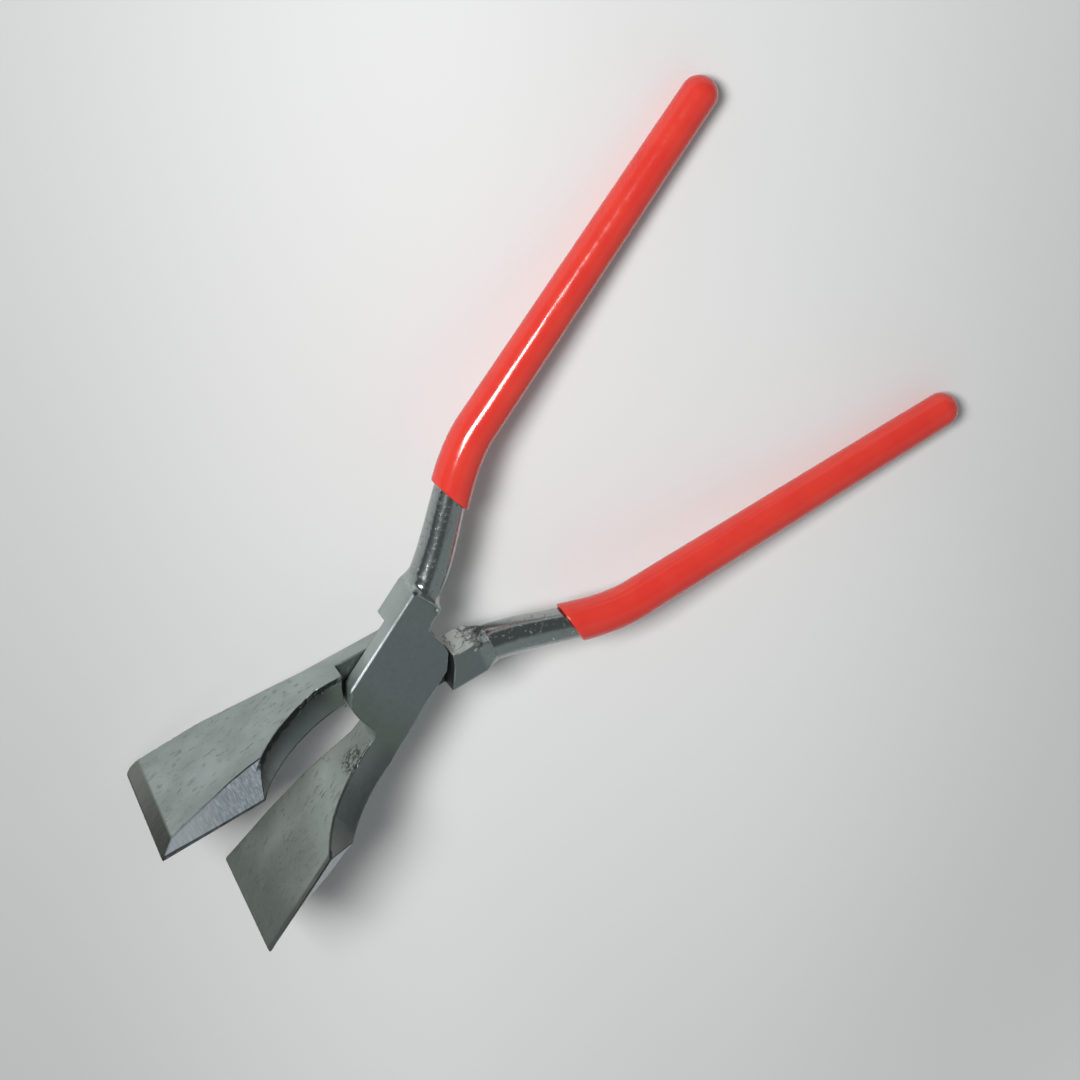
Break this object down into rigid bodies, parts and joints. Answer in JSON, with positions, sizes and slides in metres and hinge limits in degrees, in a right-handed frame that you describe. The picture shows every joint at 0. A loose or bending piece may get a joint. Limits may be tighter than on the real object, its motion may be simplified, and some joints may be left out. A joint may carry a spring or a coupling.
{
  "type": "seaming pliers",
  "caption": "Sheet-metal seaming pliers: wide flat blades that grip, fold and flatten seams, an open lap joint on a rivet, and long handles in dipped grips.",
  "frame": {"origin": "on the rivet's axis, at the back face of the joint", "axes": "+Z along the rivet, from the back of the joint to its front; -X towards the jaws and +X towards the handles, halving the angle between the arms at rest; the front arm's handle is on the +Y side"},
  "size_m": [0.2639, 0.1438, 0.06],
  "materials": {
    "front_arm_steel": "satin",
    "rear_arm_steel": "satin",
    "rivet_steel": "satin",
    "front_grip_dip": "gloss",
    "rear_grip_dip": "gloss"
  },
  "bodies": {
    "rear": {"rear_arm": "rear_arm_steel", "rivet": "rivet_steel", "rear_grip": "rear_grip_dip"},
    "front": {"front_arm": "front_arm_steel", "front_grip": "front_grip_dip"}
  },
  "joints": [
    {"name": "rivet_hinge", "type": "hinge", "parent": "rear", "child": "front", "pos_m": [0, 0, 0.0075], "axis": [0, 0, 1], "range_deg": [-29.8, 52]}
  ]
}
